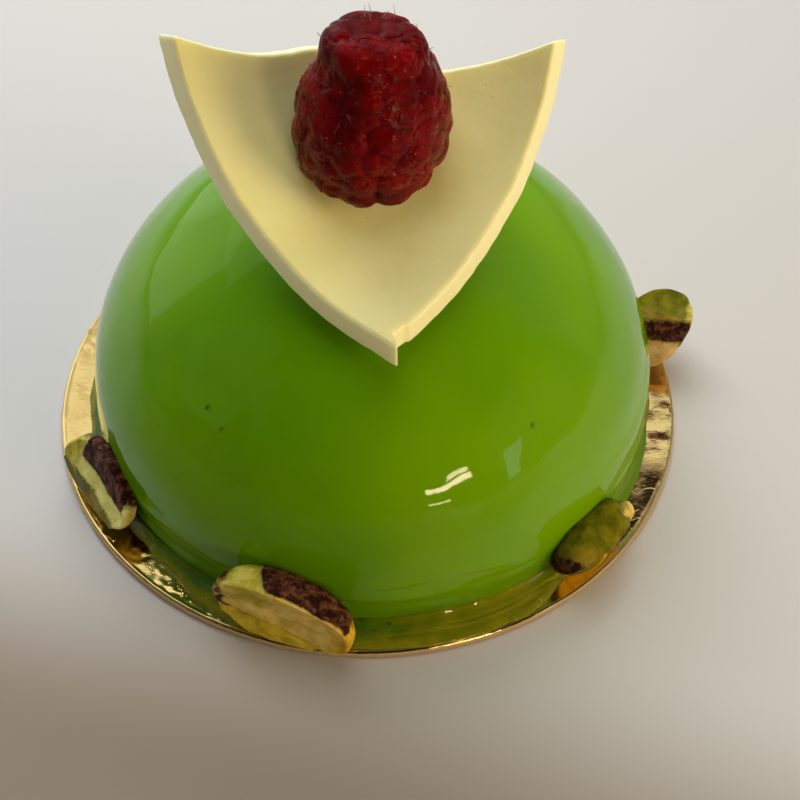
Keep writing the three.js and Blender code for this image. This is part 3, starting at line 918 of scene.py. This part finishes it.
def berry_surface(rows=215, columns=400):
    """Rings of the berry's skin, out to the farthest drupelets, and how deep in a crease each point is."""
    polar, around = np.meshgrid(np.linspace(0.01, np.pi - 0.35, rows), full_turn(columns), indexing="ij")
    ray = circle(around, np.sin(polar), np.cos(polar)).reshape(-1, 3)
    # Rays start on a stretch of the axis, lower ones low and upper ones high.
    level = 0.52 + 0.26 * np.cos(polar)
    origin = stack(0, 0, BERRY_HEIGHT * level).reshape(-1, 3)
    first, second = drupelet_reach(origin, ray)
    close = np.clip(1 - (first - second) / BERRY_BLEND, 0, 1)
    radius = (first + BERRY_BLEND * close**3 / 6).reshape(rows, columns)
    # The ripe drupelets have run together, so they stand out less than whole ones.
    even = np.convolve(np.pad(radius.mean(axis=1), 12, "edge"), np.full(25, 1 / 25), "valid")[:, None]
    radius = even + BERRY_RELIEF * (1.1 - 0.7 * smoothstep(level, 0.36, 0.6)) * (radius - even)
    place = wrinkled(origin + ray * radius.reshape(-1, 1), ray)
    return place.reshape(rows, columns, 3), smoothstep(close, 0.45, 1.0)


def seated(own):
    """Puts points of the berry in place, and moves what would sink into the plaque out to its upper face."""
    matrix = plaque_frame()
    centre = np.array([0, 0, PLAQUE_SHELL_RADIUS])
    offset = (placed(berry_matrix(), own) - matrix[:3, 3]) @ matrix[:3, :3] - centre
    distance = np.linalg.norm(offset, axis=-1, keepdims=True)
    most = PLAQUE_SHELL_RADIUS - PLAQUE_THICKNESS + BERRY_SINK
    return placed(matrix, centre + offset * np.minimum(1, most / distance))


def make_raspberry():
    rings, crease = berry_surface()
    rings = seated(rings)
    body = closed_body(rings, rings[0].mean(axis=0), seated(np.array([0, 0, -0.5])))
    berry = new_piece("raspberry_fruit", body, [berry_material()], replaces=["raspberry"])
    # The crease mask carries the painted shade in the creases between the drupelets.
    set_mask(berry, "crease", np.append(crease, [0, 0]))
    return berry


def make_hairs(berry):
    """Short dark bent hairs, rooted in the berry's skin."""
    tree = surface_tree(berry)
    middle = placed(berry_matrix(), np.array([0, 0, 0.5 * BERRY_HEIGHT]))
    draw = np.random.default_rng(5)
    share = np.linspace(0, 1, 7)[:, None]
    hairs = []
    for azimuth, elevation, length in BERRY_HAIRS:
        out = pointing(azimuth, elevation)
        root = np.array(tree.ray_cast(Vector((middle + 40 * out) * MM), Vector(-out))[0]) / MM
        bend = 0.35 * draw.normal(size=3)
        spots = root + out * length * (share - 0.15) + bend * share**2
        rings = round_rings(spots, 0.055 - 0.035 * share, out, (0.3, 0.2, 0.9), 6)
        hairs.append(closed_body(rings, rings[0].mean(axis=0), rings[-1].mean(axis=0)))
    return new_piece("raspberry_hairs", joined(hairs), [hair_material()])


# ---- pistachio pieces ----
def kernel_matrix(at, turn):
    azimuth, out, up = at
    roll, pitch, yaw = turn
    place = rotation("Z", azimuth) @ Matrix.Translation((out, 0, up))
    return np.array(place @ rotation("Z", yaw) @ rotation("X", pitch) @ rotation("Y", roll))


def kernel_rings(size, square, seed):
    """A half kernel in its own frame, from the middle of its split face to the top of its back.

    Also how far round each point is, for painting: -0.5 on the split face, more on the back.
    """
    width, length, depth = size
    azimuth = full_turn(216, -np.pi)
    swell = (np.abs(np.sin(azimuth)) ** square + np.abs(np.cos(azimuth)) ** square) ** (-1 / square)
    along = 0.5 * length * swell * np.sin(azimuth)
    across = 0.5 * width * swell * np.cos(azimuth) * (1 - KERNEL_TAPER * np.sin(azimuth))
    # Each ring's share of the outline, height, and how far round it is.
    profile = [(share, 0.35 * (1 - share**2), -0.5) for share in np.linspace(0.03, 0.93, 40)]
    for turn in np.linspace(0, 1, 7):
        angle = turn * np.pi / 2
        height = KERNEL_BACK_FROM * depth * (1 - np.cos(angle))
        profile.append((0.95 + 0.05 * np.sin(angle), height, -0.5 + 0.2 * turn))
    for angle in np.linspace(np.pi / 2, 0.04, 48)[1:]:
        height = KERNEL_BACK_FROM + (1 - KERNEL_BACK_FROM) * np.cos(angle) ** 0.85
        profile.append((np.sin(angle) ** 0.9, depth * height, height - 0.4))
    rings = np.array([stack(share * across, share * along, height) for share, height, _ in profile])
    round_to_back = np.repeat([back for _, _, back in profile], len(azimuth))
    middle = np.array([0, 0, 0.4 * depth])
    lumps = 0.30 * noise(rings / 3.4 + seed, seed) + 0.11 * noise(rings / 1.3 + seed, seed + 1)
    lumps += 0.12 * noise(rings / (1.5, 5.0, 1.5) + seed, seed + 2)
    lumps += 0.06 * noise(rings / (0.7, 3.0, 0.7) + seed, seed + 5)
    outwards = rings - middle
    outwards /= np.linalg.norm(outwards, axis=-1, keepdims=True)
    return rings + outwards * lumps[..., None] - middle, round_to_back


def clear_of_cake(points):
    """Moves what would sink into the dome or the card back out of it."""
    offset = points - DOME_MIDDLE
    distance = np.linalg.norm(offset, axis=-1, keepdims=True)
    share = np.arccos(np.clip(offset[..., 2:] / distance, -1, 1)) * 2 / np.pi
    azimuth = np.arctan2(offset[..., 1:2], offset[..., 0:1])
    least = dome_radius(azimuth, np.minimum(share, 1)) + 0.05
    sunk = (distance < least) & (offset[..., 2:] > -1.5)
    points = np.where(sunk, DOME_MIDDLE + offset * least / distance, points)
    points[..., 2] = np.maximum(points[..., 2], CARD_TOP + 0.05)
    return points


def patch_fields(own, paint, wander):
    """How far each point lies inside each colour's patches, in halved sizes."""
    fields = {}
    for colour in (*KERNEL_PAINTS, "skin"):
        field = np.full(len(own), -1.0)
        for patch in paint.get(colour, ()):
            inside = np.min([own @ towards - least for *towards, least in patch], axis=0)
            field = np.maximum(field, inside)
        fields[colour] = field + wander
    return fields


def make_kernel(name, at, size, turn, paint, material, seed, square=2.0, grooves=(), bevel=None):
    rings, round_to_back = kernel_rings(size, square, seed)
    flat = rings.reshape(-1, 3)
    own = flat / (np.array(size) * (0.5, 0.5, 1))
    own[:, 2] = round_to_back
    outwards = flat / np.linalg.norm(flat, axis=1, keepdims=True)
    wander = 0.05 * noise(flat / 2.2, seed + 3)
    fields = patch_fields(own, paint, wander)
    relief = 0.13 * smoothstep(fields["skin"], -0.01, 0.05) + 0.10 * bell(fields["skin"], 0.05, 0.05)
    for *towards, least, depth in grooves:
        relief -= depth * bell(own @ towards + wander, least, 0.085)
    shaped = flat + outwards * relief[:, None]
    if bevel:
        *towards, least, depth = bevel
        beyond = np.clip((own @ towards + wander - least) / (1 - least), 0, 1)
        shaped[:, 2] += depth * beyond * smoothstep(own[:, 2], 0.3, -0.1)
    rings = clear_of_cake(placed(kernel_matrix(at, turn), shaped.reshape(rings.shape)))
    body = closed_body(rings, rings[0].mean(axis=0), rings[-1].mean(axis=0))
    kernel = new_piece("half_" + name, body, [material], replaces=[name])
    for colour, field in fields.items():
        set_mask(kernel, colour, np.concatenate([field, field[:1], field[-1:]]))
    return kernel


# ---- tiny drops ----
def drop_body(spot, up, radius):
    """A low round drop on a surface."""
    angle = np.radians((0, 20, 42, 66))
    spots = spot + np.outer(0.75 * radius * np.sin(angle) - 0.01, up)
    rings = round_rings(spots, radius * np.cos(angle), up, (0.9, 0.1, 0.3), 12)
    return closed_body(rings, spot - up * 0.01, spot + up * 0.75 * radius)


def make_drops(pieces):
    """Drops strewn in patches on whatever lies highest there."""
    tree = surface_tree(*pieces)
    draw = np.random.default_rng(12)
    drops = []
    for x, y, azimuth, spread, out, out_spread, count, radius in DROPS:
        for _ in range(count):
            angle = math.radians(azimuth + spread * draw.uniform(-1, 1))
            reach = out + out_spread * draw.uniform(-1, 1)
            own_radius = radius * draw.uniform(0.5, 1.3)
            above = Vector((x + reach * math.cos(angle), y + reach * math.sin(angle), 90)) * MM
            spot, normal, _, _ = tree.ray_cast(above, Vector((0, 0, -1)))
            if spot is not None:
                drops.append(drop_body(np.array(spot) / MM, np.array(normal), own_radius))
    return new_piece("clear_drops", joined(drops), [juice_material()])


# ---- studio ----
def floor_material():
    """Pale grey-white, with a painted shadow that turns it darker and warmer towards the front, most at the
    left.
    """
    finish = Finish("pale_floor", Roughness=0.6)
    cloud = finish.noise(180, detail=2)
    pale = finish.mix(cloud, (0.555, 0.55, 0.53), (0.595, 0.59, 0.57))
    forward = finish.math("MULTIPLY_ADD", finish.along("X"), 0.35, finish.along("Y"))
    # Painted shadow: the floor's colour darkens and warms towards the front left, standing in for a shadow
    # falling there.
    shade = finish.ramp(forward, -0.062, -0.028, 1.0, 0.0)
    finish.set("Base Color", finish.mix(shade, pale, (0.255, 0.208, 0.160)))
    return finish.material


def make_floor():
    mesh = bpy.data.meshes.new("floor")
    half = FLOOR_HALF * MM
    corners = [(-half, -half, 0), (half, -half, 0), (half, half, 0), (-half, half, 0)]
    mesh.from_pydata(corners, [], [(0, 1, 2, 3)])
    mesh.materials.append(floor_material())
    floor = bpy.data.objects.new("floor", mesh)
    bpy.context.scene.collection.objects.link(floor)


def make_light(name, place, towards, size, power, colour, mirrored):
    data = bpy.data.lights.new(name, "AREA")
    data.shape = "RECTANGLE"
    data.size, data.size_y = (MM * v for v in size)
    data.energy = power
    data.color = colour
    light = bpy.data.objects.new(name, data)
    light.location = Vector(place) * MM
    light.rotation_mode = "QUATERNION"
    light.rotation_quaternion = (Vector(towards) - Vector(place)).to_track_quat("-Z", "Y")
    light.visible_camera = False
    light.visible_glossy = mirrored
    bpy.context.scene.collection.objects.link(light)


def make_world():
    """A pale room behind the object and a dark one in front, with a few soft, uneven pale patches."""
    world = bpy.data.worlds.new("studio")
    bpy.context.scene.world = world
    world.use_nodes = True
    nodes = Nodes(world.node_tree, "Generated")
    lumps = nodes.noise(WORLD_LUMPS, detail=5, roughness=0.6)
    strength = nodes.ramp(nodes.along("Y"), *WORLD_FADE)
    for azimuth, elevation, half_width, pale, ragged in WORLD_PATCHES:
        aims = {0: nodes.place, 1: pointing(azimuth, elevation)}
        facing = nodes.node("ShaderNodeVectorMath", aims, operation="DOT_PRODUCT").outputs["Value"]
        edge = math.cos(math.radians(half_width)) + ragged / 2
        uneven = nodes.math("MULTIPLY_ADD", lumps, ragged, facing)
        patch = nodes.ramp(uneven, edge - 0.04 * ragged, edge + 0.06 * ragged, 0, pale)
        strength = nodes.math("ADD", strength, patch)
    background = nodes.tree.nodes["Background"]
    nodes.feed(background.inputs["Color"], (0.95, 0.97, 1.0, 1))
    nodes.feed(background.inputs["Strength"], strength)


def make_studio():
    make_world()
    for name, light in LIGHTS.items():
        make_light(name, *light)
    make_floor()


def make_camera():
    data = bpy.data.cameras.new("camera")
    data.lens = CAMERA_LENS
    data.sensor_width = CAMERA_SENSOR
    data.clip_start = 0.01
    camera = bpy.data.objects.new("camera", data)
    forward, right = Vector(CAMERA_FORWARD), Vector(CAMERA_RIGHT)
    up = right.cross(forward)
    axes = Matrix((right, up, -forward)).transposed().to_4x4()
    camera.matrix_world = Matrix.Translation(Vector(CAMERA_PLACE) * MM) @ axes
    bpy.context.scene.collection.objects.link(camera)
    bpy.context.scene.camera = camera


make_camera()
make_studio()
wetted = [make_card(), make_dome(), make_pool(), make_plaque()]
make_hairs(make_raspberry())
kernel_finish = kernel_material()
for number, (name, piece) in enumerate(PISTACHIOS.items()):
    wetted.append(make_kernel(name, **piece, material=kernel_finish, seed=60 + 7 * number))
make_drops(wetted)
bpy.context.scene.view_settings.view_transform = "Standard"
